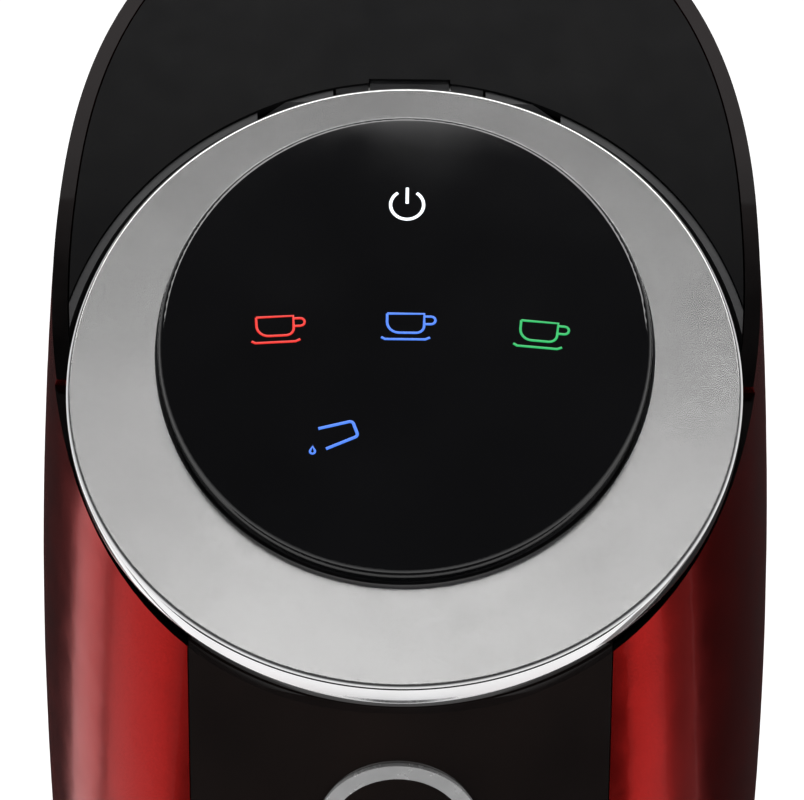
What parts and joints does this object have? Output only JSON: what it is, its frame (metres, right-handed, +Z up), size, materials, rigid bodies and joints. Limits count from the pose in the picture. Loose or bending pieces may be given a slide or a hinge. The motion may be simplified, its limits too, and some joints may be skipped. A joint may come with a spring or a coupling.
{
  "type": "pod coffee machine",
  "caption": "Table-top pod coffee machine: red barrel-shaped column, sloping round lid with touch window in a metal ring, cup bay, drawer and rear tank.",
  "frame": {"origin": "centre of the footprint, on the surface it stands on", "axes": "+Z up, -Y the front with the cup bay, +X to the right seen from the front"},
  "size_m": [0.169, 0.2616, 0.3229],
  "materials": {
    "painted_red": "metallic red lacquer, high gloss",
    "black_gloss": "polished black",
    "black_satin": "soft satin black",
    "black_matte": "fine texture",
    "inner_grey": "moulded engineering plastic",
    "satin_metal": "fine brushed satin",
    "chrome_trim": "polished",
    "steel": "plain",
    "boiler_metal": "cast",
    "window_gloss": "polished black touch window",
    "board_green": "circuit board",
    "rubber": "soft",
    "tank_clear": "smoked clear plastic",
    "float_red": "plain",
    "brass": "plain"
  },
  "bodies": {
    "machine": {"left_side_shell": "painted_red", "right_side_shell": "painted_red", "front_panel": "black_gloss", "badge_ring": "chrome_trim", "rear_cover": "black_satin", "hood": "black_satin", "lid_well": "black_matte", "hinge_pin": "steel", "base_chassis": "black_matte", "rubber_feet": "rubber", "base_screws": "steel", "tank_dock": "black_satin", "power_inlet": "black_matte", "cup_bay_liner": "black_matte", "rear_frame": "inner_grey", "brew_frame": "inner_grey", "brew_screws": "steel", "injection_plate": "inner_grey", "brew_seal": "rubber", "piercing_needle": "steel", "guide_rods": "steel", "capsule_chute": "black_matte", "coffee_outlet": "black_matte", "coffee_spout": "chrome_trim", "main_board": "board_green", "board_parts": "black_matte", "pump_yoke": "steel", "pump_body": "inner_grey", "pump_mounts": "rubber", "thermoblock": "boiler_metal", "thermostats": "brass", "flow_meter": "inner_grey", "suction_hose": "rubber", "meter_hose": "rubber", "pressure_hose": "rubber", "brew_pipe": "steel", "lid_switch": "black_matte", "catch_magnet": "steel"},
    "lid": {"lid_ring": "satin_metal", "touch_window": "window_gloss", "window_carrier": "black_matte", "touch_board": "board_green", "lid_chassis": "black_matte", "catch_plate": "steel", "lid_screws": "steel", "lid_gear": "inner_grey"},
    "carriage": {"brew_carriage": "inner_grey", "extraction_sieve": "steel"},
    "drawer": {"drip_tray": "black_satin", "capsule_bin": "black_satin"},
    "grille": {"drip_grille": "satin_metal"},
    "float": {"tray_float": "float_red"},
    "tank": {"water_tank": "tank_clear", "tank_lid_pin": "steel", "valve_cage": "inner_grey", "tank_seal": "rubber", "valve_spring": "steel"},
    "tank_cover": {"tank_lid": "black_satin"},
    "valve": {"tank_valve": "inner_grey"},
    "plunger": {"switch_plunger": "inner_grey"}
  },
  "joints": [
    {"name": "lid_hinge", "type": "hinge", "parent": "machine", "child": "lid", "pos_m": [0, -0.00273, 0.28696], "axis": [-1, 0, 0], "range_deg": [0, 65]},
    {"name": "brew_slide", "type": "slide", "parent": "machine", "child": "carriage", "axis": [0, -1, 0], "range_m": [0, 0.01201]},
    {"name": "drawer_slide", "type": "slide", "parent": "machine", "child": "drawer", "axis": [0, -1, 0], "range_m": [0, 0.12]},
    {"name": "grille_lift", "type": "slide", "parent": "drawer", "child": "grille", "axis": [0, 0, 1], "range_m": [0, 0.03]},
    {"name": "float_rise", "type": "slide", "parent": "drawer", "child": "float", "axis": [0, 0, 1], "range_m": [0, 0.006]},
    {"name": "tank_lift", "type": "slide", "parent": "machine", "child": "tank", "axis": [0, 0, 1], "range_m": [0, 0.06]},
    {"name": "tank_lid_hinge", "type": "hinge", "parent": "tank", "child": "tank_cover", "pos_m": [0, 0.1279, 0.2857], "axis": [-1, 0, 0], "range_deg": [0, 80]},
    {"name": "tank_valve_push", "type": "slide", "parent": "tank", "child": "valve", "axis": [0, 0, 1], "range_m": [0, 0.004], "stiffness_N_per_m": 150, "deforming": ["valve_spring"]},
    {"name": "lid_switch_press", "type": "slide", "parent": "machine", "child": "plunger", "axis": [0, 0, -1], "range_m": [0, 0.0015], "stiffness_N_per_m": 150}
  ],
  "couplings": [
    {"joint": "brew_slide", "follows": "lid_hinge", "m_per_rad": 0.010578}
  ]
}
